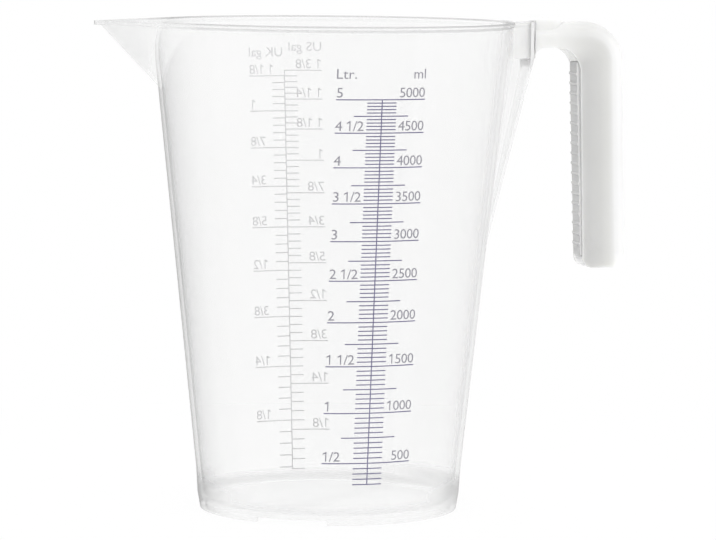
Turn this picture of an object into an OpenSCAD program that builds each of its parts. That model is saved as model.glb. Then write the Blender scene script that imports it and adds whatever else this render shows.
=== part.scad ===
// Five litre measuring jug: a see-through tapered body with a pouring lip, a white hook
// handle that drops into a pocket behind the rim, a ribbed finger strip that closes the
// grip, and two printed scales, litres on the front and gallons on the back.
// X runs along the handle, the lip points to -X, the litre scale faces -Y, and the origin
// is on the jug's axis at the level of the table.

/* [Body] */
// Height of the rim above the table
jug_h = 274; // [230:1:320]
// Outer radius of the wall at the rim
rim_r = 101; // [92:0.5:112]
// Outer radius of the wall's cone at the table
base_r = 72.3; // [66:0.1:78]
// Thickness of the wall
wall_t = 2; // [1.6:0.1:2.6]
// Thickness of the floor
floor_t = 1.8; // [1.4:0.1:3]
// Radius inside, where the floor turns up into the wall
floor_fillet = 6; // [3:0.5:9]
// Height of the bead round the rim
bead_h = 2.2; // [1.4:0.1:4]
// How far the bead stands out from the wall
bead_out = 1.4; // [0.8:0.1:2]

/* [Foot] */
// Height of the foot ring under the floor
foot_h = 2.8; // [2:0.1:5]
// Width of the foot ring
foot_w = 3; // [2:0.1:6]
// Height of the thicker heel of the wall
heel_h = 22; // [14:0.5:30]
// How far the heel stands out from the wall's cone
heel_out = 0.6; // [0.3:0.1:1]
// Number of drain notches in the foot ring
notch_count = 3; // [2:1:4]
// Angle that each drain notch takes up
notch_span = 33; // [15:1:45]

/* [Lip] */
// Distance of the lip's tip from the jug's axis
lip_reach = 134; // [124:0.5:142]
// Height from the rim down to where the lip leaves the wall
lip_drop = 39; // [30:0.5:50]
// Angle at the axis between the lip's middle and where its side meets the rim
lip_spread = 38; // [34:0.5:39]
// Radius inside the lip's channel
lip_round = 2; // [1:0.5:4]

/* [Handle pocket] */
// How far the pocket's front face stands out from the wall at the rim
pocket_out = 14.5; // [12:0.5:18]
// Outer half width of the pocket
pocket_half_w = 11; // [10:0.5:13]
// Radius of the pocket's upright front edges
pocket_edge = 3; // [1:0.5:4]
// Depth of the pocket's upright top part
pocket_h = 21; // [18:0.5:26]
// Height from the rim down to the pocket's lowest point
pocket_l = 148; // [120:1:170]
// Width of the slot that the handle's neck slides down
slot_w = 8; // [6:0.5:10]

/* [Handle] */
// Width of the handle
handle_w = 20; // [18:0.5:24]
// Thickness of the handle's channel walls
handle_t = 2.4; // [2:0.1:3]
// Radius along the handle's outer edges
handle_edge = 8; // [5:0.5:8.5]
// Height of the arm
arm_h = 14; // [12:0.5:16]
// Length of the arm, from the pocket's front face to the centre of the bend
arm_l = 30.8; // [27:0.1:36]
// Radius of the outer bend
bend_r = 22.8; // [20:0.2:26]
// Radius under the arm, where it turns down into the grip
arch_r = 14; // [10:0.5:16]
// Radius under the arm, where it meets the pocket
root_r = 6; // [4:0.5:7]
// Depth of the grip from front to back
grip_depth = 26.7; // [24:0.5:30]
// Length of the grip, from the centre of the bend to its lower end
grip_l = 117.2; // [95:0.1:135]
// Radius of the grip's lower corners
grip_end_r = 6; // [4:0.5:8]
// Angle by which the handle's lower end leans away from the jug
grip_lean = 1.5; // [0:0.5:4]
// Height of the thumb rest above the rim
thumb_h = 2; // [1:0.5:3]
// Length of the thumb rest, from the pocket's front face to where it slopes down
thumb_l = 14.5; // [10:0.5:18]
// Length of the slope where the thumb rest rises from the rim
thumb_slope_l = 8; // [4:0.5:10]

/* [Finger strip] */
// Distance from one rib across the strip to the next
rib_pitch = 5.7; // [4.5:0.1:6]
// Least plain length of the strip beyond its first and last rib
rib_margin = 6; // [4:0.5:10]
// Radius of a rib's bar
rib_r = 1.1; // [0.8:0.1:1.5]
// How far a rib stands out of the strip
rib_out = 0.6; // [0.3:0.1:0.8]
// How far the strip stands out of the grip at its top
strip_out = 1.5; // [1:0.1:2.5]
// How deep the strip sits in the grip's channel
strip_in = 3.4; // [2:0.1:5]
// Number of cross walls in the channel that carry the strip
web_count = 4; // [2:1:6]

/* [Printed scales] */
// Thickness of the ink
ink_t = 0.12; // [0.08:0.01:0.2]
// Height of a printed line
line_w = 0.6; // [0.4:0.05:0.9]
// Angle by which the print sits round from square, towards the handle in front
print_turn = 3.4; // [0:0.1:6]
// Half length of the litre scale's long marks
litre_long = 25; // [20:0.5:30]
// Half length of the litre scale's middle marks
litre_middle = 15.2; // [12:0.2:18]
// Half length of the litre scale's short marks
litre_short = 8.2; // [6:0.2:10]
// Length of the gallon scale's long marks
gallon_long = 22; // [18:0.5:28]
// Length of the gallon scale's short marks
gallon_short = 7.6; // [5:0.2:10]
// Volume of one litre mark, in millilitres
litre_step_ml = 50; // [50:50:100]
// Volume of the litre scale's top mark, in litres
litre_top_l = 5; // [3:0.5:5]

/* [Hidden] */
$fn = 96;

// Overrun of every cut past the face that it opens
over = 1;
// Clearance round the handle's head in its pocket, and round the strip in its channel
fit = 0.2;

// The wall's cone: how fast it widens, and its outer radius at a height
wall_slope = (rim_r - base_r) / jug_h;
function wall_r(z) = base_r + wall_slope * z;
floor_z = foot_h + floor_t;
heel_low_share = 0.4;
heel_low_z = heel_h * heel_low_share;

// Volume under a level of the inner cone, and the level of a given volume
ml = 1000;
litre = 1000 * ml;
gallon_us = 3.785412 * litre;
gallon_uk = 4.54609 * litre;
inner_floor_r = wall_r(floor_z) - wall_t;
function level_r(volume) =
    pow(pow(inner_floor_r, 3) + 3 * wall_slope * volume / PI, 1 / 3);
function level_z(volume) = (level_r(volume) + wall_t - base_r) / wall_slope;

// Marks on the scales, none of them higher than the bead's lower edge
print_top_r = wall_r(jug_h - bead_h - line_w) - wall_t;
print_top = (pow(print_top_r, 3) - pow(inner_floor_r, 3)) * PI / (3 * wall_slope);
litre_first = 6;
litre_step = litre_step_ml * ml;
litre_last = floor(min(litre_top_l * litre, print_top) / litre_step);
steps_per_long = 10;
steps_per_middle = 5;
marks_per_eighth = 5;
marks_per_gallon = 8 * marks_per_eighth;
us_top_eighths = 11;
uk_top_eighths = 9;
us_step = gallon_us / marks_per_gallon;
uk_step = gallon_uk / marks_per_gallon;
us_last = floor(min(us_top_eighths * marks_per_eighth, print_top / us_step));
uk_last = floor(min(uk_top_eighths * marks_per_eighth, print_top / uk_step));

// The lip: slope of its keel, and the half angle of its V across the keel
keel_z = jug_h - lip_drop;
keel_run = lip_reach - wall_r(keel_z);
keel_angle = atan(lip_drop / keel_run);
lip_side_x = rim_r * cos(lip_spread);
lip_half_angle = atan(rim_r * sin(lip_spread) / ((lip_reach - lip_side_x) * sin(keel_angle)));

// The handle: levels of its bend, its underside and its parting face
bend_z = jug_h - bend_r;
pocket_reach = rim_r + pocket_out;
bend_reach = pocket_reach + arm_l;
thumb_reach = pocket_reach + thumb_l;
grip_front = bend_r - grip_depth;
pocket_half_in = pocket_half_w - wall_t;
pocket_front_in = pocket_reach - wall_t;
pocket_back = rim_r + wall_t;
pocket_low_z = jug_h - pocket_h;
pocket_foot_z = jug_h - pocket_l;
pocket_foot_shares = 4;
arm_back = pocket_reach + fit;
thumb_back = pocket_back - wall_t / 2;
thumb_end_shares = 2;
thumb_end = thumb_reach + thumb_h * thumb_end_shares;
strip_w = handle_w - 2 * handle_t - 2 * fit;
strip_l = grip_l - grip_end_r - handle_t / 2;
web_share = 0.75;
web_t = handle_t * web_share;
rib_count = 1 + floor((strip_l - 2 * rib_margin) / rib_pitch);
first_rib = (strip_l - (rib_count - 1) * rib_pitch) / 2;

// Outline of the body's outside, from the axis to the wall, grown outwards
module body_outline(grow = 0) {
    polygon([
        [0, 0],
        [base_r + grow, 0],
        [wall_r(heel_low_z) + heel_out + grow, heel_low_z],
        [wall_r(heel_h) + grow, heel_h],
        [rim_r + grow, jug_h],
        [0, jug_h]
    ]);
}

// Outline of the body's inside, open past the rim
module bore_outline() {
    corner_r = inner_floor_r - floor_fillet;
    fillet_steps = 8;
    fillet = [
        for (i = [0 : fillet_steps])
            let (a = 90 * i / fillet_steps)
            [corner_r + floor_fillet * sin(a), floor_z + floor_fillet * (1 - cos(a))]
    ];
    polygon(concat(
        [[0, floor_z]],
        fillet,
        [[wall_r(jug_h + over) - wall_t, jug_h + over], [0, jug_h + over]]
    ));
}

// V across the lip's keel, with its point rounded; inset moves it inwards by a wall
module lip_section(inset) {
    round_r = lip_round + wall_t - inset;
    centre_x = (lip_round + wall_t) / sin(lip_half_angle);
    side_x = centre_x - round_r * sin(lip_half_angle);
    side_y = round_r * cos(lip_half_angle);
    depth = lip_reach;
    far_y = side_y + (depth - side_x) * tan(lip_half_angle);
    point_steps = 8;
    point = [
        for (i = [0 : point_steps])
            let (a = (90 - lip_half_angle) * (2 * i / point_steps - 1))
            [centre_x - round_r * cos(a), round_r * sin(a)]
    ];
    polygon(concat(point, [[depth, far_y], [depth, -far_y]]));
}

// The lip as a solid wedge along its keel, cut off where its sides meet the rim
module lip_wedge(inset, top) {
    keel_l = norm([keel_run, lip_drop]);
    intersection() {
        translate([lip_reach, 0, jug_h])
            rotate([0, -90 - keel_angle, 0])
                translate([0, 0, -lip_drop])
                    linear_extrude(height = lip_drop + keel_l)
                        lip_section(inset);
        translate([lip_side_x, -rim_r, 0])
            cube([lip_reach, 2 * rim_r, top]);
    }
}

// Plan of the bead: the rim's circle and the tangents to the lip's round tip
module bead_plan() {
    tip_r = lip_round + wall_t + bead_out;
    ring_r = rim_r + bead_out;
    tip_x = lip_reach - (lip_round + wall_t) / sin(lip_half_angle);
    side = acos((ring_r - tip_r) / tip_x);
    circle(r = ring_r);
    translate([tip_x, 0])
        circle(r = tip_r);
    polygon([
        ring_r * [cos(side), sin(side)],
        [tip_x, 0] + tip_r * [cos(side), sin(side)],
        [tip_x, 0] + tip_r * [cos(side), -sin(side)],
        ring_r * [cos(side), -sin(side)]
    ]);
}

// Outside of the pocket: an upright box that tapers down the wall to a point
module pocket_shell() {
    flare = 2 * pocket_half_w;
    corner_x = pocket_reach - pocket_edge;
    corner_y = pocket_half_w - pocket_edge;
    foot_x = wall_r(pocket_foot_z) - pocket_edge;
    hull() {
        for (side = [-1, 1]) {
            translate([corner_x, side * corner_y, pocket_low_z])
                cylinder(h = pocket_h, r = pocket_edge, $fn = 32);
            translate([rim_r - 3 * wall_t, side * (flare - wall_t), pocket_low_z])
                cylinder(h = pocket_h, r = wall_t, $fn = 32);
        }
        translate([foot_x, 0, pocket_foot_z])
            sphere(r = pocket_edge, $fn = 32);
    }
}

// Hollow of the pocket, open at the top, with its slot for the handle's neck
module pocket_hollow() {
    foot_z = pocket_foot_z + pocket_h;
    foot_x = wall_r(foot_z) + wall_t / 2;
    foot_half_w = pocket_half_in / pocket_foot_shares;
    intersection() {
        rotate([90, 0, 0])
            linear_extrude(height = 2 * pocket_half_in, center = true)
                polygon([
                    [foot_x, foot_z],
                    [pocket_front_in, pocket_low_z],
                    [pocket_front_in, jug_h + over],
                    [pocket_back, jug_h + over],
                    [pocket_back, pocket_low_z]
                ]);
        rotate([90, 0, 90])
            linear_extrude(height = pocket_reach)
                polygon([
                    [-foot_half_w, foot_z],
                    [foot_half_w, foot_z],
                    [pocket_half_in, pocket_low_z],
                    [pocket_half_in, jug_h + over],
                    [-pocket_half_in, jug_h + over],
                    [-pocket_half_in, pocket_low_z]
                ]);
    }
    translate([pocket_back, -slot_w / 2, pocket_low_z])
        cube([pocket_reach, slot_w, pocket_h + over]);
}

// Recess under the floor and the notches that let water drain out of it
module foot_cuts() {
    ring_in = base_r - foot_w;
    translate([0, 0, -over])
        cylinder(h = foot_h + over, r = ring_in);
    for (i = [0 : notch_count - 1])
        rotate([0, 0, i * 360 / notch_count - notch_span / 2])
            translate([0, 0, -over])
                rotate_extrude(angle = notch_span)
                    translate([ring_in - over, 0])
                        square([foot_w + heel_out + 2 * over, foot_h + over]);
}

module jug_body() {
    color([0.9, 0.93, 0.95, 0.45])
        difference() {
            union() {
                rotate_extrude()
                    body_outline();
                rotate([0, 0, 180])
                    lip_wedge(0, jug_h);
                rotate([0, 0, 180])
                    translate([0, 0, jug_h - bead_h])
                        linear_extrude(height = bead_h)
                            bead_plan();
                difference() {
                    pocket_shell();
                    pocket_hollow();
                }
            }
            rotate_extrude()
                bore_outline();
            rotate([0, 0, 180])
                lip_wedge(wall_t, jug_h + over);
            foot_cuts();
        }
}

// Cross section of the handle behind its outer face, with that face's edges rounded
module handle_section(inset, depth) {
    edge = handle_edge - inset;
    half_w = handle_w / 2 - inset;
    face = bend_r - inset;
    translate([face - depth, -half_w])
        square([depth - edge, 2 * half_w]);
    translate([face - depth, -half_w + edge])
        square([depth, 2 * (half_w - edge)]);
    for (side = [-1, 1])
        translate([face - edge, side * (half_w - edge)])
            circle(r = edge);
}

// Puts the handle's shell in its place: it is drawn square, round its bend's centre
module hung() {
    translate([bend_reach, 0, bend_z])
        rotate([0, -grip_lean, 0])
            children();
}

// Room that the handle's outer faces enclose: the arm, the bend and the grip
module handle_envelope(inset, reach) {
    rotate([0, -90, 0])
        linear_extrude(height = reach)
            handle_section(inset, bend_r - inset);
    rotate([90, 0, 0])
        rotate_extrude(angle = 90)
            handle_section(inset, bend_r - inset);
    translate([0, 0, -grip_l - over])
        linear_extrude(height = grip_l + over)
            handle_section(inset, grip_depth + bend_r);
}

// Side view of the handle; above and behind, the envelope gives it its outer faces
module handle_side() {
    under = bend_r - arm_h;
    translate([-arm_l - over, under])
        square([arm_l + bend_r + over, arm_h + over]);
    translate([grip_front, -grip_l + grip_end_r])
        square([grip_depth, grip_l - grip_end_r + under + over]);
    translate([grip_front + grip_end_r, -grip_l])
        square([grip_depth - 2 * grip_end_r, grip_l]);
    for (x = [grip_front + grip_end_r, grip_front + grip_depth - grip_end_r])
        translate([x, -grip_l + grip_end_r])
            circle(r = grip_end_r);
    difference() {
        translate([grip_front - arch_r, under - arch_r])
            square([arch_r + over, arch_r + over]);
        translate([grip_front - arch_r, under - arch_r])
            circle(r = arch_r);
    }
    difference() {
        translate([-arm_l - over, under - root_r])
            square([root_r + over, root_r + over]);
        translate([root_r - arm_l, under - root_r])
            circle(r = root_r);
    }
}

// The channel inside the handle, open under the arm and towards the fingers; it ends
// where the finger strip ends
module handle_channel() {
    end_l = grip_l - strip_l - fit;
    difference() {
        handle_envelope(handle_t, arm_l - 2 * handle_t);
        translate([-grip_depth - bend_r, -handle_w, -grip_l - 2 * over])
            cube([2 * grip_depth + 2 * bend_r, 2 * handle_w, end_l + 2 * over]);
    }
}

// Cross walls in the grip's channel that the strip's back lies on
module strip_webs() {
    web_pitch = strip_l / web_count;
    web_back = grip_front + strip_in;
    for (i = [0 : web_count - 1])
        translate([web_back, 0, -web_pitch * (i + 0.5)])
            linear_extrude(height = web_t)
                intersection() {
                    translate([-web_back, 0])
                        handle_section(handle_t / 2, grip_depth);
                    translate([0, -handle_w / 2])
                        square([grip_depth, handle_w]);
                }
}

// The head that sits in the pocket, its neck in the slot, and the thumb rest above
module handle_root() {
    head_z = pocket_low_z + fit;
    head_half = pocket_half_in - fit;
    translate([pocket_back + fit, -head_half, head_z])
        cube([pocket_front_in - pocket_back - 2 * fit, 2 * head_half, jug_h - head_z]);
    translate([pocket_front_in - 2 * fit, fit - slot_w / 2, head_z])
        cube([pocket_reach - pocket_front_in + handle_t, slot_w - 2 * fit, jug_h - head_z]);
    thumb_pad();
}

// Thumb rest over the pocket's mouth and the arm: sloped at both ends, its outer end round
module thumb_pad() {
    half_w = (handle_w - handle_t) / 2;
    intersection() {
        rotate([90, 0, 0])
            linear_extrude(height = handle_w, center = true)
                polygon([
                    [thumb_back, jug_h],
                    [thumb_back + thumb_slope_l, jug_h + thumb_h],
                    [thumb_reach, jug_h + thumb_h],
                    [thumb_end, jug_h],
                    [thumb_end, jug_h - handle_edge],
                    [arm_back, jug_h - handle_edge],
                    [arm_back, jug_h]
                ]);
        linear_extrude(height = 2 * jug_h) {
            translate([thumb_back - over, -half_w])
                square([thumb_end - thumb_back + over - half_w, 2 * half_w]);
            translate([thumb_end - half_w, 0])
                circle(r = half_w);
        }
    }
}

module handle() {
    color([0.97, 0.97, 0.96]) {
        difference() {
            union() {
                difference() {
                    hung()
                        intersection() {
                            handle_envelope(0, arm_l + over);
                            rotate([90, 0, 0])
                                linear_extrude(height = handle_w + over, center = true)
                                    handle_side();
                        }
                    translate([0, -handle_w, 0])
                        cube([arm_back, 2 * handle_w, 2 * jug_h]);
                }
                handle_root();
            }
            hung()
                handle_channel();
        }
        hung()
            strip_webs();
    }
}

// Plate that closes the grip's channel, proud at its top and flush at its lower end
module strip_plate() {
    rotate([90, 0, 0])
        linear_extrude(height = strip_w, center = true)
            polygon([
                [grip_front - strip_out, 0],
                [grip_front + strip_in, 0],
                [grip_front + strip_in, -strip_l],
                [grip_front - rib_out, -strip_l]
            ]);
}

module finger_strip() {
    tilt = atan((strip_out - rib_out) / strip_l);
    color([0.88, 0.88, 0.88])
        hung() {
            strip_plate();
            translate([grip_front - strip_out, 0, 0])
                rotate([0, -tilt, 0])
                    for (i = [0 : rib_count - 1])
                        translate([rib_r - rib_out, 0, -first_rib - i * rib_pitch])
                            rotate([90, 0, 0])
                                cylinder(h = strip_w - 2 * fit, r = rib_r, center = true);
        }
}

// One printed line across a scale, from one side of the stem to the other
module mark(left, right, z) {
    translate([-left, z - line_w / 2])
        square([left + right, line_w]);
}

module stem(low_z, high_z) {
    translate([-line_w / 2, low_z - line_w / 2])
        square([line_w, high_z - low_z + line_w]);
}

module litre_marks() {
    stem(level_z(litre_first * litre_step), level_z(litre_last * litre_step));
    for (i = [litre_first : litre_last]) {
        half = i % steps_per_long == 0 ? litre_long
            : i % steps_per_middle == 0 ? litre_middle
            : litre_short;
        mark(half, half, level_z(i * litre_step));
    }
}

// Marks of the gallon scale: US gallons left of the stem, UK gallons right of it
module gallon_marks() {
    stem(level_z(us_step), level_z(us_last * us_step));
    for (i = [1 : us_last])
        mark(i % marks_per_eighth == 0 ? gallon_long : gallon_short, 0, level_z(i * us_step));
    for (i = [1 : uk_last])
        mark(0, i % marks_per_eighth == 0 ? gallon_long : gallon_short, level_z(i * uk_step));
}

// Lays flat marks on the wall as a skin of ink, facing -Y before it is turned
module printed(turn) {
    intersection() {
        rotate([0, 0, turn])
            rotate([90, 0, 0])
                linear_extrude(height = rim_r + over)
                    children();
        difference() {
            rotate_extrude()
                body_outline(ink_t);
            rotate_extrude()
                body_outline();
        }
    }
}

module litre_scale() {
    color([0.2, 0.16, 0.42])
        printed(print_turn)
            litre_marks();
}

module gallon_scale() {
    color([0.2, 0.16, 0.42])
        printed(180 + print_turn)
            gallon_marks();
}

jug_body();
handle();
finger_strip();
litre_scale();
gallon_scale();
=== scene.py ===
# %% [markdown]
# # A see-through measuring jug
#
# The jug is a tapered tub of natural plastic, a little milky, with a white hook handle that
# drops into a pocket behind the rim. Its solids come from the CAD model, which this script
# loads as a fixed frame. The script dresses them in their plastics, prints the figures of
# both scales, and sets up a pale studio with the camera where the photograph was taken.

# %% Load the frame
import math

import bmesh
import bpy
from mathutils import Matrix, Vector


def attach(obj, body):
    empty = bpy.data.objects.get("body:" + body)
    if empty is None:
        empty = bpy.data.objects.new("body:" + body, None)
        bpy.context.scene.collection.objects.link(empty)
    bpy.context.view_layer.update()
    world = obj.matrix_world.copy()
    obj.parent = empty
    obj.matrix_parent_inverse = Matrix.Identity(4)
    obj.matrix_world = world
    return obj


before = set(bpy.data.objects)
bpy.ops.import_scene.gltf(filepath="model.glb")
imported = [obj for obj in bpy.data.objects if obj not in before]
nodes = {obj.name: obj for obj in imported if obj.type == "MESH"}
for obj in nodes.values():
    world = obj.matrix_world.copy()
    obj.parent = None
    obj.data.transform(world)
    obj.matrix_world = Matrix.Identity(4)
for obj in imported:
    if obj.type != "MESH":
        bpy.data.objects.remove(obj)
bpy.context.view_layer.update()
print("nodes of the jug:", sorted(nodes))

# %% [markdown]
# Every mark of a measuring jug stands at a volume, so its height isn't free. The inside is a
# cone, and the volume under a level follows from the cone's radius there. Working the level
# out from the volume puts each figure exactly on its printed line, with no list of heights
# to keep. Lengths are in metres, as everywhere in the frame.

# %% The wall's cone and the level of a volume
JUG_H, RIM_R, BASE_R = 0.274, 0.101, 0.0723
WALL_T, FLOOR_Z = 0.002, 0.0046
WALL_SLOPE = (RIM_R - BASE_R) / JUG_H
LITRE = 0.001
TOP_LITRES = 5


def wall_radius(z):
    """Outer radius of the wall at a height."""
    return BASE_R + WALL_SLOPE * z


def level_of(litres):
    """Height of the liquid's surface for a volume."""
    floor_r = wall_radius(FLOOR_Z) - WALL_T
    surface_r = (floor_r**3 + 3 * WALL_SLOPE * litres * LITRE / math.pi) ** (1 / 3)
    return (surface_r + WALL_T - BASE_R) / WALL_SLOPE


for litres in (1, TOP_LITRES):
    print("level of", litres, "litre:", round(level_of(litres) * 1000, 1), "mm")

# %% [markdown]
# The print is flat artwork that a screen lays on the wall from one side: a point keeps its
# sideways distance from the stem of the scale and its height, and moves in until it meets
# the cone. The whole print sits a few degrees round from square, and the gallon scale faces
# the other way. So one function can lay any flat mesh on the wall, front or back.

# %% Laying flat artwork on the wall
PRINT_TURN = math.radians(3.4)
INK_BACK, INK_T = 0.00002, 0.0001


def lay_on_wall(bm, turn):
    """Move a flat mesh, x sideways, y up and z outwards, onto the cone's outside."""
    turned = Matrix.Rotation(turn, 3, "Z")
    for vert in bm.verts:
        side, height, out = vert.co
        reach = wall_radius(height) + INK_BACK + out
        depth = math.sqrt(reach * reach - side * side)
        vert.co = turned @ Vector((side, -depth, height))


# %% [markdown]
# The letters come from Blender's own font, a little stretched. A text object could be bent
# with a Curve modifier, but its place would then hang on other objects. Here each word is
# turned into a mesh first, shifted to its line, and joined to the others in one bmesh; only
# then is the whole sheet of figures laid on the wall.

# %% Words as meshes
FIGURE_H = 0.0053
STRETCH = 1.05
CURVE_STEPS = 3


def word_mesh(word, size):
    """Mesh of a word with a little thickness, its first letter at the origin."""
    curve = bpy.data.curves.new("word", "FONT")
    curve.body = word
    curve.size = size
    curve.resolution_u = CURVE_STEPS
    curve.extrude = INK_T / 2
    carrier = bpy.data.objects.new("word", curve)
    bpy.context.scene.collection.objects.link(carrier)
    bpy.context.view_layer.update()
    depsgraph = bpy.context.evaluated_depsgraph_get()
    mesh = bpy.data.meshes.new_from_object(carrier.evaluated_get(depsgraph))
    bpy.data.objects.remove(carrier)
    bpy.data.curves.remove(curve)
    return mesh


def span_of(mesh, axis):
    """Lowest and highest place of a mesh along an axis."""
    places = [vert.co[axis] for vert in mesh.vertices]
    return min(places), max(places)


probe = word_mesh("5", 1.0)
low, high = span_of(probe, 1)
LETTER_SIZE = FIGURE_H / (high - low)
bpy.data.meshes.remove(probe)
print("figures", round(FIGURE_H * 1000, 1), "mm high need a letter size of", round(LETTER_SIZE, 5))

# %% [markdown]
# A word is stretched and moved to its line before it joins the sheet. Unit words are set as
# the font has them, with their left or their right edge at a sideways distance from the
# stem.

# %% Setting a word on the sheet


def join_word(bm, mesh, shift, baseline):
    """Stretch a word, move it to its place and add it to the sheet."""
    place = Matrix.Translation((shift, baseline, INK_T / 2))
    mesh.transform(place @ Matrix.Diagonal((STRETCH, 1, 1, 1)))
    bm.from_mesh(mesh)
    bpy.data.meshes.remove(mesh)


def set_word(bm, word, baseline, left=None, right=None):
    """Add a word to the sheet, its left or right edge at a sideways distance."""
    mesh = word_mesh(word, LETTER_SIZE)
    low, high = span_of(mesh, 0)
    shift = left - low * STRETCH if left is not None else right - high * STRETCH
    join_word(bm, mesh, shift, baseline)


# %% [markdown]
# Figures on a scale are set in cells of one width, so that they stand under each other, and
# a stroke or a space takes half a cell. The font's own 1 is a bare bar. The printed 1 has a
# flag, so it is drawn here: seven corners make its face, which is extruded to the ink's
# thickness like the other letters. The flag's corners hang below the top by shares of the
# flag's width.

# %% Figures in cells of one width
CELL = 0.00385
ONE_STEM, ONE_FLAG = 0.00062, 0.0014
TIP_ABOVE, TIP_BELOW, FLAG_FOOT = 0.65, 1.05, 0.75


def draw_one(bm, left, baseline):
    """The figure 1, a stem with a slanting flag at its top."""
    stem_l = left + CELL / 2 - ONE_STEM / 4
    stem_r = stem_l + ONE_STEM
    tip = stem_l - ONE_FLAG
    top = baseline + FIGURE_H
    corners = [(stem_l, baseline), (stem_r, baseline), (stem_r, top), (stem_l, top),
               (tip, top - ONE_FLAG * TIP_ABOVE), (tip, top - ONE_FLAG * TIP_BELOW),
               (stem_l, top - ONE_FLAG * FLAG_FOOT)]
    face = bm.faces.new([bm.verts.new((x, y, 0)) for x, y in corners])
    face.normal_update()
    grown = bmesh.ops.extrude_face_region(bm, geom=[face], use_keep_orig=True)["geom"]
    tops = [item for item in grown if isinstance(item, bmesh.types.BMVert)]
    bmesh.ops.translate(bm, verts=tops, vec=(0, 0, INK_T))
    shell = list({near for vert in tops for near in vert.link_faces} | {face})
    bmesh.ops.recalc_face_normals(bm, faces=shell)


def cell_width(letter):
    """Half a cell for a stroke or a space, a whole one for a figure."""
    return CELL / 2 if letter in " /" else CELL


def set_figures(bm, figures, baseline, left=None, right=None):
    """Add figures cell by cell, flush left or flush right."""
    start = left if left is not None else right - sum(map(cell_width, figures))
    for letter in figures:
        width = cell_width(letter)
        if letter == "1":
            draw_one(bm, start, baseline)
        elif letter != " ":
            mesh = word_mesh(letter, LETTER_SIZE)
            low, high = span_of(mesh, 0)
            middle = start + width / 2 - (low + high) / 2 * STRETCH
            join_word(bm, mesh, middle, baseline)
        start += width


# %% [markdown]
# Both sheets of figures end the same way: doubles are merged, the sheet is laid on the wall,
# and the piece rides on the jug's one body. An extrusion makes its faces in an order that
# changes from run to run, so everything is sorted by its place before the mesh is written.

# %% A sheet of figures becomes a piece
DOUBLES = 1e-7


def corners_of(part):
    """The places of all vertices of an edge or a face, lowest first."""
    return sorted(vert.co[:] for vert in part.verts)


def put_in_order(parts, place):
    """Sort vertices, edges or faces by their places."""
    ranks = {part: rank for rank, part in enumerate(sorted(parts, key=place))}
    parts.sort(key=ranks.get)


def sheet_piece(name, bm, turn):
    """Lay a sheet of words on the wall and make it a piece of the jug."""
    bmesh.ops.remove_doubles(bm, verts=bm.verts, dist=DOUBLES)
    lay_on_wall(bm, turn)
    put_in_order(bm.verts, lambda vert: vert.co[:])
    put_in_order(bm.edges, corners_of)
    put_in_order(bm.faces, corners_of)
    mesh = bpy.data.meshes.new(name)
    bm.to_mesh(mesh)
    bm.free()
    piece = bpy.data.objects.new(name, mesh)
    bpy.context.scene.collection.objects.link(piece)
    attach(piece, "root")
    print(name, "has", len(mesh.polygons), "faces")
    return piece


# %% [markdown]
# The litre scale carries a figure every half litre: litres above the left end of the long
# line, millilitres above its right end, each word flush with the line's end. The unit words
# stand a little above the top figures.

# %% Figures of the litre scale
LINE_GAP = 0.0012
WORDS_UP = 0.0113
LITRE_LONG = 0.025


def halves(litres_twice):
    """Litres as a mixed number: 9 gives 4 1/2."""
    whole = str(litres_twice // 2) if litres_twice > 1 else ""
    return whole + (" 1/2" if whole else "1/2") if litres_twice % 2 else whole


bm = bmesh.new()
for litres_twice in range(1, 2 * TOP_LITRES + 1):
    baseline = level_of(litres_twice / 2) + LINE_GAP
    set_figures(bm, halves(litres_twice), baseline, left=-LITRE_LONG)
    set_figures(bm, str(litres_twice * 500), baseline, right=LITRE_LONG)
set_word(bm, "Ltr.", level_of(TOP_LITRES) + WORDS_UP, left=-LITRE_LONG)
set_word(bm, "ml", level_of(TOP_LITRES) + WORDS_UP, right=LITRE_LONG)
litre_figures = sheet_piece("litre_figures", bm, PRINT_TURN)

# %% [markdown]
# The scale on the far side counts eighths of a gallon, US gallons left of the stem and UK
# gallons right of it, and is read from behind. Through the jug it shows mirrored, which
# needs no work at all: the sheet is only turned half way round.

# %% Figures of the gallon scale
GALLONS = {"US gal": (3.785412, 11), "UK gal": (4.54609, 9)}
GALLON_LONG = 0.022


def eighths(count):
    """Eighths of a gallon as a mixed number in lowest terms: 10 gives 1 1/4."""
    whole, rest = divmod(count, 8)
    shared = math.gcd(rest, 8)
    part = f"{rest // shared}/{8 // shared}" if rest else ""
    return " ".join(word for word in (str(whole) if whole else "", part) if word)


bm = bmesh.new()
for heading, (litres, top) in GALLONS.items():
    edge = {"left": -GALLON_LONG} if heading.startswith("US") else {"right": GALLON_LONG}
    for count in range(1, top + 1):
        set_figures(bm, eighths(count), level_of(litres * count / 8) + LINE_GAP, **edge)
    set_word(bm, heading, level_of(litres * top / 8) + WORDS_UP, **edge)
gallon_figures = sheet_piece("gallon_figures", bm, math.pi + PRINT_TURN)

# %% [markdown]
# A node material is a small graph. These helpers keep each graph short: one starts an empty
# material, one adds a node and sets its values by name, and one puts the finished material
# on an object, whatever slots it came with.

# %% Helpers for node materials


def empty_material(name):
    """A new material without nodes, and its graph."""
    mat = bpy.data.materials.new(name)
    mat.use_nodes = True
    mat.node_tree.nodes.clear()
    return mat, mat.node_tree


def add(tree, kind, **values):
    """A new node; a value is a setting of the node, a number for a socket, or a link."""
    node = tree.nodes.new(kind)
    for key, value in values.items():
        if hasattr(node, key):
            setattr(node, key, value)
            continue
        numbered = key.startswith("in_") and key[3:].isdigit()
        slot = int(key[3:]) if numbered else key.replace("_", " ")
        if isinstance(value, bpy.types.NodeSocket):
            tree.links.new(value, node.inputs[slot])
        else:
            node.inputs[slot].default_value = value
    return node


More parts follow.
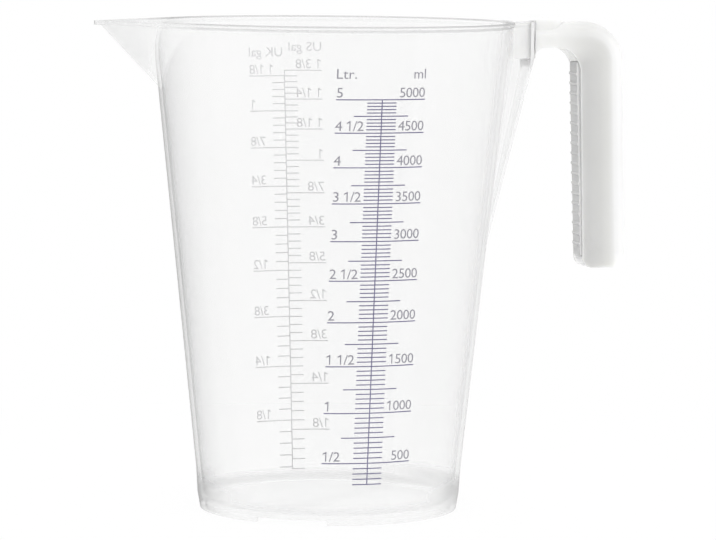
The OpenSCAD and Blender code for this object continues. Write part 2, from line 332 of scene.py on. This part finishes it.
def dress(obj, mat):
    """Give every face of an object the same material."""
    obj.data.materials.clear()
    obj.data.materials.append(mat)
    for poly in obj.data.polygons:
        poly.material_index = 0


# %% [markdown]
# Most of a graph is arithmetic on the place on the object. A chain of Math nodes adds,
# multiplies or compares. A Map Range node turns a stretch of one value, such as the height
# from here to there, into a share that grows along it and stays put beyond its ends. That
# is how a place on the object is marked without any texture image.

# %% Arithmetic in a graph


def calc(tree, operation, first, *others):
    """One kind of Math node, over two or more numbers or links, from left to right."""
    for other in others or (0.0,):
        first = add(tree, "ShaderNodeMath", operation=operation, in_0=first, in_1=other).outputs[0]
    return first


def share_along(tree, value, start, end, low=0.0, high=1.0):
    """A value's way from start to end, as a number from low to high."""
    return add(tree, "ShaderNodeMapRange", Value=value, From_Min=start, From_Max=end,
               To_Min=low, To_Max=high).outputs["Result"]


def distance_of(tree, *legs):
    """The length of two legs at a right angle, each taken as zero where it is negative."""
    squares = [calc(tree, "POWER", calc(tree, "MAXIMUM", leg, 0.0), 2.0) for leg in legs]
    return calc(tree, "POWER", calc(tree, "ADD", *squares), 0.5)


def parts_of(tree, vector):
    """The X, Y and Z of a vector."""
    return add(tree, "ShaderNodeSeparateXYZ", Vector=vector).outputs


# %% [markdown]
# Colours come from ramps and from mixing. Nearly all colours here are greys, so a single
# number may stand for a colour. The fine relief that every plastic has is the same two
# nodes each time, with a grain of its own.

# %% Colour and relief in a graph
GRAIN_DETAIL = 2.0


def colour_of(tone):
    """A grey value or three channels as a colour; a link stays a link."""
    if isinstance(tone, bpy.types.NodeSocket):
        return tone
    channels = tone if isinstance(tone, tuple) else (tone, tone, tone)
    return (*channels, 1)


def ramp_of(tree, factor, stops):
    """A colour ramp through (place, tone) stops."""
    ramp = add(tree, "ShaderNodeValToRGB", Fac=factor)
    line = ramp.color_ramp
    while len(line.elements) < len(stops):
        line.elements.new(0.5)
    for element, (position, tone) in zip(line.elements, stops):
        element.position = position
        element.color = colour_of(tone)
    return ramp.outputs["Color"]


def blended(tree, share, under, over, blend_type="MIX"):
    """One colour laid over another where the share says so."""
    return add(tree, "ShaderNodeMix", data_type="RGBA", blend_type=blend_type, in_0=share,
               in_6=colour_of(under), in_7=colour_of(over)).outputs[2]


def tinted(tree, share, under, over):
    """One colour multiplied by another where the share says so."""
    return blended(tree, share, under, over, "MULTIPLY")


def relief_of(tree, where, scale, strength, depth):
    """Normals of a surface with a fine grain."""
    grain = add(tree, "ShaderNodeTexNoise", Vector=where, Scale=scale, Detail=GRAIN_DETAIL)
    return add(tree, "ShaderNodeBump", Strength=strength, Distance=depth,
               Height=grain.outputs["Fac"]).outputs["Normal"]


# %% [markdown]
# Natural polypropylene is neither clear nor white. Looking straight at the wall, most light
# passes, and the rest scatters in the haze; near the outline the line of sight runs a long
# way inside the wall, so the haze wins and the edge goes grey. A refracting shader would
# need many samples for that. Here a transparent part is mixed with a milky part, and the
# share that passes falls with the length of the way through the wall, which is one over the
# cosine of the viewing angle.

# %% Where the wall stands to the view
LEAST_COSINE = 0.04
mat, tree = empty_material("natural_polypropylene")
where = add(tree, "ShaderNodeTexCoord").outputs["Object"]
spot = parts_of(tree, where)
facing = add(tree, "ShaderNodeLayerWeight", Blend=0.5).outputs["Facing"]
cosine = calc(tree, "MAXIMUM", calc(tree, "SUBTRACT", 1.0, facing), LEAST_COSINE)
normal = add(tree, "ShaderNodeNewGeometry").outputs["Normal"]
tilt = calc(tree, "ABSOLUTE", parts_of(tree, normal)["Z"])
upright = calc(tree, "SUBTRACT", 1.0, calc(tree, "POWER", tilt, 2.0))
# Facing times upright is the mask of the painted shade at the outline.
outline_shade_mask = calc(tree, "MULTIPLY", facing, upright)
times = round(1 / math.cos(math.radians(80)), 1)
print("a wall seen at 80 degrees is", times, "times as thick to the eye")

# %% [markdown]
# The painted shade at the outline isn't equally dark all round. The wall near the handle is lit
# along its length, so its outline is painted paler than the one under the lip, and a little
# above the foot the outline is painted paler, too. The pocket's walls get no painted outline shade
# at all.

# %% How dark the painted outline shade gets
NEAR_HANDLE, OUTLINE_SHADE_NEAR_HANDLE = (0.03, 0.085), 0.62
POCKET_STARTS = (0.1098, 0.1106)
LOW_WALL_UNDER, LOW_WALL_OVER, OUTLINE_SHADE_LOW_WALL = (0.02, 0.03), (0.03, 0.13), 0.92
low_wall = calc(tree, "MAXIMUM", share_along(tree, spot["Z"], *LOW_WALL_UNDER, 1.0, 0.0),
                share_along(tree, spot["Z"], *LOW_WALL_OVER))
outline_shade_mask = calc(tree, "MULTIPLY", outline_shade_mask,
               share_along(tree, spot["X"], *NEAR_HANDLE, 1.0, OUTLINE_SHADE_NEAR_HANDLE),
               share_along(tree, spot["X"], *POCKET_STARTS, 1.0, 0.0),
               share_along(tree, low_wall, 0.0, 1.0, OUTLINE_SHADE_LOW_WALL, 1.0))
print("the outline is palest", round(LOW_WALL_OVER[0] * 1000), "mm over the table")

# %% [markdown]
# The front of the pocket stands a fraction of a millimetre before the handle's white arm, so
# the two look like one pale surface. Only the outer skin of the pocket's front is made
# dense: the distance from the axis of its rounded corner tells it from the inner one.

# %% The pocket's front
CORNER_X, CORNER_Y = 0.1125, 0.008
FRONT_STARTS, SKIN_STARTS = (0.1123, 0.1129), (0.0018, 0.0022)
sideways = calc(tree, "SUBTRACT", calc(tree, "ABSOLUTE", spot["Y"]), CORNER_Y)
from_corner = distance_of(tree, calc(tree, "SUBTRACT", spot["X"], CORNER_X), sideways)
pocket_front = calc(tree, "MULTIPLY", share_along(tree, spot["X"], *FRONT_STARTS),
                    share_along(tree, from_corner, *SKIN_STARTS))
print("the pocket's corner is round about x", CORNER_X, "and y", CORNER_Y)

# %% [markdown]
# Some places hold more plastic than the plain wall, and look greyer in the photograph; part of
# that grey is painted shade. The first is the rounded corner between floor and wall, with its
# heel. Its painted grey is darkest where it is seen through the wall in front of it, and towards
# both ends, where the line of sight runs along it. A mask from the place on the object marks
# it. The floor itself stays out.

# %% The corner over the foot
HEEL_H = 0.02
REAR, FRONT_SHARE = (-0.04, 0.04), 0.4
RIGHT_END, LEFT_END, LEFT_SHARE = (0.035, 0.065), (-0.048, -0.071), 0.5
FLAT = (0.98, 0.80)
height = share_along(tree, spot["Z"], 0.0, HEEL_H)
heel = ramp_of(tree, height, [(0.0, 0.3), (0.20, 0.3), (0.30, 0.9), (0.40, 1.0), (0.60, 0.0)])
rear = share_along(tree, spot["Y"], *REAR, FRONT_SHARE, 1.0)
heel_at_ends = ramp_of(tree, height, [
    (0.0, 0.0), (0.15, 0.2), (0.35, 0.9), (0.70, 0.9), (0.95, 0.0)])
ends = calc(tree, "MAXIMUM", share_along(tree, spot["X"], *RIGHT_END),
            share_along(tree, spot["X"], *LEFT_END, 0.0, LEFT_SHARE))
# The corner's grey: thicker plastic, and painted shade.
corner = calc(tree, "MAXIMUM", calc(tree, "MULTIPLY", heel, rear),
              calc(tree, "MULTIPLY", heel_at_ends, ends))
corner = calc(tree, "MULTIPLY", corner, share_along(tree, tilt, *FLAT))
print("the corner's grey band ends", round(HEEL_H * 1000), "mm over the table")

# %% [markdown]
# The others are the folded wall of the lip and the two edges of the bead round the rim. The
# bead's edges are painted shade lines, the upper one for its rounded top and the lower one for
# the shadow under the bead; they lie on its round part and fade at the lip and at the pocket,
# and the lower one is fainter on the far side. Together the masks say how much thicker the haze
# is and where painted shade greys it.

# %% The lip and the rim's bead
LIP, LIP_SHARE = (-0.100, -0.108), 0.45
BEAD = (0.2705, 0.2742)
RIM_FRONT_TO_REAR, LOW_LINE_FRONT, LOW_LINE_REAR = (-0.02, 0.02), 0.75, 0.15
AT_LIP, AT_POCKET, LINES_THERE = (-0.105, -0.085), (0.095, 0.102), 0.25
lip = share_along(tree, spot["X"], *LIP, 0.0, LIP_SHARE)
bead = share_along(tree, spot["Z"], *BEAD)
low_line = calc(tree, "MULTIPLY",
                ramp_of(tree, bead, [(0.0, 0.0), (0.10, 1.0), (0.40, 1.0), (0.50, 0.0)]),
                share_along(tree, spot["Y"], *RIM_FRONT_TO_REAR, LOW_LINE_FRONT, LOW_LINE_REAR))
high_line = ramp_of(tree, bead, [(0.68, 0.0), (0.76, 1.0)])
round_part = calc(tree, "MULTIPLY", share_along(tree, spot["X"], *AT_LIP, LINES_THERE, 1.0),
                  share_along(tree, spot["X"], *AT_POCKET, 1.0, LINES_THERE))
# Painted shade lines along the bead's two edges.
bead_edge_shade = calc(tree, "MULTIPLY", calc(tree, "MAXIMUM", low_line, high_line), round_part)
# Thicker plastic, together with the painted shade of the corner and of the bead's edges.
thick = calc(tree, "MAXIMUM", corner, lip, bead_edge_shade)
print("the bead's edges lie", [round(z * 1000, 1) for z in BEAD], "mm over the table")

# %% [markdown]
# The milky part is a little reflecting and mostly translucent. A painted shade darkens it
# towards the outline, for the dim surroundings that the edge of a clear wall shows; it is greyer
# where the plastic is thick, with painted shade over the foot's corner and along the bead's edges.
# Slow clouds in the haze and a fine grain keep it from looking like clean glass.

# %% The body's natural plastic
HAZE, HAZE_WHERE_THICK_AND_SHADED, HAZE_IN_POCKET_FRONT = 0.09, 0.47, 2.5
THROUGH = 0.7
PLASTIC_IOR = 1.49
haze = share_along(tree, thick, 0.0, 1.0, -HAZE, -HAZE_WHERE_THICK_AND_SHADED)
haze = calc(tree, "SUBTRACT", haze, calc(tree, "MULTIPLY", pocket_front, HAZE_IN_POCKET_FRONT))
passing = calc(tree, "EXPONENT", calc(tree, "DIVIDE", haze, cosine))
# Painted shade: the milky colour darkens towards the outline.
painted_outline_shade = ramp_of(tree, outline_shade_mask, [
    (0.0, 1.0), (0.38, 0.965), (0.50, 0.85), (0.60, 0.77), (0.72, 0.66), (0.83, 0.51), (1.0, 0.40)])
flow = add(tree, "ShaderNodeTexNoise", Vector=where, Scale=18.0, Detail=3.0,
           Roughness=0.55).outputs["Fac"]
tint = tinted(tree, 1.0, painted_outline_shade, ramp_of(tree, flow, [(0.30, 0.985), (0.70, 1.0)]))
# Greyer where the plastic is thick, painted shade over the corner and along the bead's edges, and
# plain grey on the pocket's dense front skin.
for share, tone in ((thick, 0.80), (bead_edge_shade, 0.82), (pocket_front, 0.75)):
    tint = tinted(tree, share, tint, tone)
skin = add(tree, "ShaderNodeBsdfPrincipled", IOR=PLASTIC_IOR, Base_Color=tint,
           Roughness=share_along(tree, flow, 0.0, 1.0, 0.18, 0.30),
           Normal=relief_of(tree, where, 420.0, 0.05, 0.0002)).outputs[0]
glow = add(tree, "ShaderNodeBsdfTranslucent", Color=tint).outputs[0]
through = share_along(tree, pocket_front, 0.0, 1.0, THROUGH, 0.0)
milky = add(tree, "ShaderNodeMixShader", in_0=through, in_1=skin, in_2=glow).outputs[0]
gap = add(tree, "ShaderNodeBsdfTransparent").outputs[0]
wall = add(tree, "ShaderNodeMixShader", in_0=passing, in_1=milky, in_2=gap).outputs[0]
add(tree, "ShaderNodeOutputMaterial", Surface=wall)
dress(nodes["jug_body"], mat)
print("the wall lets", round(100 * math.exp(-HAZE)), "percent through each face, seen square on")

# %% [markdown]
# The handle is the same kind of plastic with white pigment: it looks solid, yet light that
# falls on one side of its thin walls comes out of the other, and so the open channel under
# the arm isn't dark. Subsurface scattering over a few millimetres does that. Fine noise
# keeps the gloss from being perfect, and a faint grain breaks up the highlights.

# %% Pigmented plastics
GLOSS_WANDERS = 0.06
SCATTER_COLOUR = (1.0, 1.0, 0.95)


def pigmented(name, low, high, roughness, grain_scale, grain_depth, depth=0.0, shade=None):
    """A coloured plastic. Light wanders inside it over a depth; shade may change tint and depth."""
    mat, tree = empty_material(name)
    where = add(tree, "ShaderNodeTexCoord").outputs["Object"]
    flow = add(tree, "ShaderNodeTexNoise", Vector=where, Scale=22.0, Detail=4.0).outputs["Fac"]
    tint = ramp_of(tree, flow, [(0.35, low), (0.65, high)])
    if shade:
        tint, depth = shade(tree, where, tint, depth)
    inner = {"Subsurface_Weight": 1.0, "Subsurface_Radius": SCATTER_COLOUR,
             "Subsurface_Scale": depth} if depth else {}
    sheen = share_along(tree, flow, 0.0, 1.0, roughness - GLOSS_WANDERS, roughness + GLOSS_WANDERS)
    skin = add(tree, "ShaderNodeBsdfPrincipled", IOR=PLASTIC_IOR, Base_Color=tint, Roughness=sheen,
               Normal=relief_of(tree, where, grain_scale, 0.12, grain_depth), **inner)
    add(tree, "ShaderNodeOutputMaterial", Surface=skin.outputs[0])
    return mat


# %% [markdown]
# The grip's flat sides, with the hollow channel behind them, are painted greyer than its rounded
# back: a painted shade for light that falls mostly from the right, with a painted highlight where
# the side turns into the back. The painted shade follows one coordinate, the distance outwards
# from the centre of the bend, so it runs round the bend as the real one does. Below the bend it
# leans with the grip.

# %% Painted shade round the bend
BEND_X, BEND_Z, BEND_R = 0.1465, 0.2512, 0.0228
LEAN = math.tan(math.radians(1.5))
SIDE_SHADE_AND_HIGHLIGHT = [(0.0, 0.685), (0.30, (0.73, 0.73, 0.725)), (0.50, (0.81, 0.81, 0.80)),
              (0.58, (0.87, 0.87, 0.865)), (0.66, 0.98), (0.80, 1.0), (0.95, 0.925)]
CROWN, CROWN_SHADE = (0.004, 0.016), 0.89


def way_outwards(tree, spot, over):
    """Distance outwards from the bend's centre, where the bend's own radius counts as one."""
    below = calc(tree, "MAXIMUM", calc(tree, "SUBTRACT", BEND_Z, spot["Z"]), 0.0)
    lean = calc(tree, "MULTIPLY", below, LEAN)
    beyond = calc(tree, "SUBTRACT", spot["X"], BEND_X, lean)
    return calc(tree, "DIVIDE", distance_of(tree, beyond, over), BEND_R)


def bend_tone(tree, over, outwards):
    """Painted shade from the hollow side to the back, with a painted highlight, and on the crown of
    the arm.
    """
    crown = ramp_of(tree, share_along(tree, over, *CROWN), [(0.0, 1.0), (1.0, CROWN_SHADE)])
    return tinted(tree, 1.0, ramp_of(tree, outwards, SIDE_SHADE_AND_HIGHLIGHT), crown)


# %% [markdown]
# Three parts of the handle go their own way. The arm's side has painted light along its length,
# palest towards the jug. The head in the pocket is seen through the pocket's walls and is painted
# paler, most towards the arm, against the shade it lies in. And inside the channel light may
# wander much further than elsewhere, so it comes through the thin flange beside the arch, which
# is nearly white in the photograph; there the side's painted shade gives way to a painted full
# white, a painted light against the channel's shade.

# %% Painted light of the arm, the channel and the head
ARM_ENDS, ARM_RISES, ARM_SPAN = (0.160, 0.132), (0.0, 0.007), (0.118, 0.145)
CHANNEL_HALF, CHANNEL_BACK, CHANNEL_STARTS = (0.0079, 0.0077), (0.85, 0.80), (0.120, 0.125)
HEAD_ENDS, HEAD_SPAN = (0.1165, 0.1155), (0.104, 0.1116)
DEPTH_IN_CHANNEL = 5


def hollow_shade(tree, where, tint, depth):
    """The handle's tint with its painted shade and painted light at each place, and how far light
    wanders there.
    """
    spot = parts_of(tree, where)
    over = calc(tree, "SUBTRACT", spot["Z"], BEND_Z)
    outwards = way_outwards(tree, spot, over)
    # Painted light on the arm's side, palest towards the jug.
    arm = calc(tree, "MULTIPLY", share_along(tree, spot["X"], *ARM_ENDS),
               share_along(tree, over, *ARM_RISES))
    arm_painted_light = ramp_of(tree, share_along(tree, spot["X"], *ARM_SPAN), [(0.0, 0.93), (1.0, 0.82)])
    side = blended(tree, arm, bend_tone(tree, over, outwards), arm_painted_light)
    across = calc(tree, "ABSOLUTE", spot["Y"])
    inside = calc(tree, "MULTIPLY", share_along(tree, across, *CHANNEL_HALF),
                  share_along(tree, outwards, *CHANNEL_BACK),
                  share_along(tree, spot["X"], *CHANNEL_STARTS))
    # Inside the channel a painted full white replaces the side's painted shade.
    side = blended(tree, inside, side, 1.0)
    # Painted light on the head in the pocket, palest towards the arm.
    head = share_along(tree, spot["X"], *HEAD_ENDS)
    head_painted_light = ramp_of(tree, share_along(tree, spot["X"], *HEAD_SPAN), [
        (0.0, (0.84, 0.84, 0.835)), (1.0, (0.95, 0.95, 0.945))])
    shaded = blended(tree, head, tinted(tree, 1.0, tint, side), head_painted_light)
    return shaded, share_along(tree, inside, 0.0, 1.0, depth, DEPTH_IN_CHANNEL * depth)


# %% The handle's white plastic
HANDLE_DEPTH = 0.004
white_plastic = pigmented("white_polypropylene", (0.87, 0.87, 0.86), (0.90, 0.90, 0.89),
                          roughness=0.36, grain_scale=700.0, grain_depth=0.0002,
                          depth=HANDLE_DEPTH, shade=hollow_shade)
dress(nodes["handle"], white_plastic)
print("light wanders", HANDLE_DEPTH * 1000, "mm inside the handle")

# %% [markdown]
# The finger strip is a softer, greyer plastic with a matt grip face. It closes the handle's
# channel, so no light reaches its back, and it lets less light wander than the handle. Its
# front, which faces the jug, gets a painted shade; its two sides stay paler, which lifts the
# shade in the seams beside the handle's flanges.

# %% The finger strip's plastic
STRIP_DEPTH = 0.0015
STRIP_FRONT, STRIP_FRONT_SHADE = (0.0069, 0.0073), 0.70


def strip_shade(tree, where, tint, depth):
    """Painted shade on the strip's front, which is darker than its two sides."""
    across = calc(tree, "ABSOLUTE", parts_of(tree, where)["Y"])
    front = share_along(tree, across, *STRIP_FRONT, 1.0, 0.0)
    return tinted(tree, front, tint, STRIP_FRONT_SHADE), depth


strip_plastic = pigmented("grey_strip_plastic", (0.72, 0.72, 0.72), (0.78, 0.78, 0.775),
                          roughness=0.5, grain_scale=900.0, grain_depth=0.0003,
                          depth=STRIP_DEPTH, shade=strip_shade)
dress(nodes["finger_strip"], strip_plastic)
print("light wanders", STRIP_DEPTH * 1000, "mm inside the finger strip")

# %% [markdown]
# Screen ink is thin, dark violet and almost matt. Its cover is never quite even, so the
# colour wanders a little from place to place. The litre figures are printed thinner than
# the marks beside them, and the gallon scale is the palest.

# %% Inks
for name, low, high, printed in (
        ("violet_ink", (0.13, 0.12, 0.22), (0.17, 0.16, 0.27), [nodes["litre_scale"]]),
        ("thin_violet_ink", (0.25, 0.245, 0.28), (0.30, 0.295, 0.33), [litre_figures]),
        ("pale_violet_ink", (0.66, 0.655, 0.67), (0.72, 0.715, 0.73),
         [nodes["gallon_scale"], gallon_figures])):
    ink = pigmented(name, low, high, roughness=0.5, grain_scale=1500.0, grain_depth=0.00005)
    for piece in printed:
        dress(piece, ink)
print("materials:", sorted(mat.name for mat in bpy.data.materials))

# %% [markdown]
# Product photographs of pale goods are taken in a tent of white cloth, so the object gets
# light from all round, a little more from behind and above than from where the camera
# stands. The world does this work here: its strength depends on the direction. What the
# camera sees of it, straight or through the plastic, is plain white, by Light Path, so the
# white background costs the object no extra light.

# %% Light Path helper
WHITE = colour_of(1.0)


def seen_directly(tree, share):
    """How far a camera, mirror or see-through ray takes a surface as plain white."""
    rays = add(tree, "ShaderNodeLightPath").outputs
    seen = calc(tree, "MAXIMUM", rays["Is Camera Ray"], rays["Is Glossy Ray"],
                rays["Is Transmission Ray"])
    return calc(tree, "MULTIPLY", seen, share)


# %% The tent of light
CAMERA_TURN = math.radians(-13)
BACK_LIGHT, TOP_LIGHT = 1.10, 0.2
world = bpy.data.worlds.new("light_tent")
bpy.context.scene.world = world
world.use_nodes = True
tree = world.node_tree
tree.nodes.clear()
sky = add(tree, "ShaderNodeTexCoord").outputs["Generated"]
behind = Vector((math.sin(-CAMERA_TURN), math.cos(CAMERA_TURN), 0))
to_back = add(tree, "ShaderNodeVectorMath", operation="DOT_PRODUCT", in_0=sky, in_1=behind)
strength = calc(tree, "ADD", share_along(tree, to_back.outputs["Value"], 0.0, 1.0, 1.0, BACK_LIGHT),
                share_along(tree, parts_of(tree, sky)["Z"], 0.0, 1.0, 0.0, TOP_LIGHT))
cloth = add(tree, "ShaderNodeBackground", Color=WHITE, Strength=strength).outputs[0]
plain = add(tree, "ShaderNodeBackground", Color=WHITE, Strength=1.0).outputs[0]
tent = add(tree, "ShaderNodeMixShader", in_0=seen_directly(tree, 1.0), in_1=cloth, in_2=plain)
add(tree, "ShaderNodeOutputWorld", Surface=tent.outputs[0])
print("the tent gives 1 in front,", BACK_LIGHT, "behind and", TOP_LIGHT, "more from above")

# %% [markdown]
# The floor is one large pale sheet. Far out it is seen as plain white, so that it has no
# horizon; round the jug a part of its real shading is kept, and with it the soft shadow
# under the foot.

# %% The floor
FLOOR_HALF = 3.0
mesh = bpy.data.meshes.new("floor")
bm = bmesh.new()
bmesh.ops.create_grid(bm, x_segments=1, y_segments=1, size=FLOOR_HALF)
bm.to_mesh(mesh)
bm.free()
floor = bpy.data.objects.new("floor", mesh)
bpy.context.scene.collection.objects.link(floor)
print("the floor is", 2 * FLOOR_HALF, "m wide")

# %% The floor's material
ROUND_JUG, PLAIN_NEAR_JUG, FLOOR_TONE = (0.1, 0.45), 0.93, 0.9
mat, tree = empty_material("pale_floor")
where = add(tree, "ShaderNodeTexCoord").outputs["Object"]
away = add(tree, "ShaderNodeVectorMath", operation="LENGTH", in_0=where).outputs["Value"]
share = share_along(tree, away, *ROUND_JUG, PLAIN_NEAR_JUG, 1.0)
shaded = add(tree, "ShaderNodeBsdfDiffuse", Color=colour_of(FLOOR_TONE)).outputs[0]
plain = add(tree, "ShaderNodeEmission", Color=WHITE, Strength=1.0).outputs[0]
sheet = add(tree, "ShaderNodeMixShader", in_0=seen_directly(tree, share), in_1=shaded, in_2=plain)
add(tree, "ShaderNodeOutputMaterial", Surface=sheet.outputs[0])
mesh.materials.append(mat)

# %% [markdown]
# Two weak soft boxes help the tent: one to the right makes the handle's rounded back the
# brightest part, and one in front keeps its near side from going dull.

# %% Soft boxes
BOX_SIZE = 1.0


def soft_box(name, place, watts):
    """A square lamp that looks at the middle of the jug."""
    lamp = bpy.data.lights.new(name, "AREA")
    lamp.shape = "RECTANGLE"
    lamp.size = lamp.size_y = BOX_SIZE
    lamp.energy = watts
    box = bpy.data.objects.new(name, lamp)
    bpy.context.scene.collection.objects.link(box)
    aim = Vector((0, 0, JUG_H / 2)) - Vector(place)
    box.location = place
    box.rotation_euler = aim.to_track_quat("-Z", "Y").to_euler()
    print(name, round(aim.length, 2), "m away,", watts, "W")


soft_box("right_box", (1.63, -0.42, 0.6), 3)
soft_box("front_box", (-1.2, -1.4, 0.9), 2)

# %% [markdown]
# The camera was fitted to the photograph: the rim, the foot and the marks give its distance,
# height and lens, and the handle's direction gives the turn about the jug's axis. It stands
# a little above the rim, so the rim's far side shows just over its near side.

# %% Camera
YAW, PITCH, ROLL = 0.0071815, -0.0946486, 0.0092475
FOCAL_PIXELS, PHOTO_W, SENSOR_W = 3927.6, 716, 36.0
CAMERA_PLACE = (0, -2.20092, 0.34310)
look = Vector((math.sin(YAW) * math.cos(PITCH), math.cos(YAW) * math.cos(PITCH), math.sin(PITCH)))
level = Vector((math.cos(YAW), -math.sin(YAW), 0))
above = level.cross(look)
right = math.cos(ROLL) * level + math.sin(ROLL) * above
up = math.cos(ROLL) * above - math.sin(ROLL) * level
axes = Matrix((right, up, -look)).transposed().to_4x4()
turned = Matrix.Rotation(CAMERA_TURN, 4, "Z")
camera = bpy.data.objects.new("camera", bpy.data.cameras.new("camera"))
camera.data.sensor_width = SENSOR_W
camera.data.lens = FOCAL_PIXELS * SENSOR_W / PHOTO_W
camera.matrix_world = turned @ Matrix.Translation(CAMERA_PLACE) @ axes
bpy.context.scene.collection.objects.link(camera)
bpy.context.scene.camera = camera
bpy.context.scene.view_settings.view_transform = "Standard"
print("lens", round(camera.data.lens, 1), "mm")
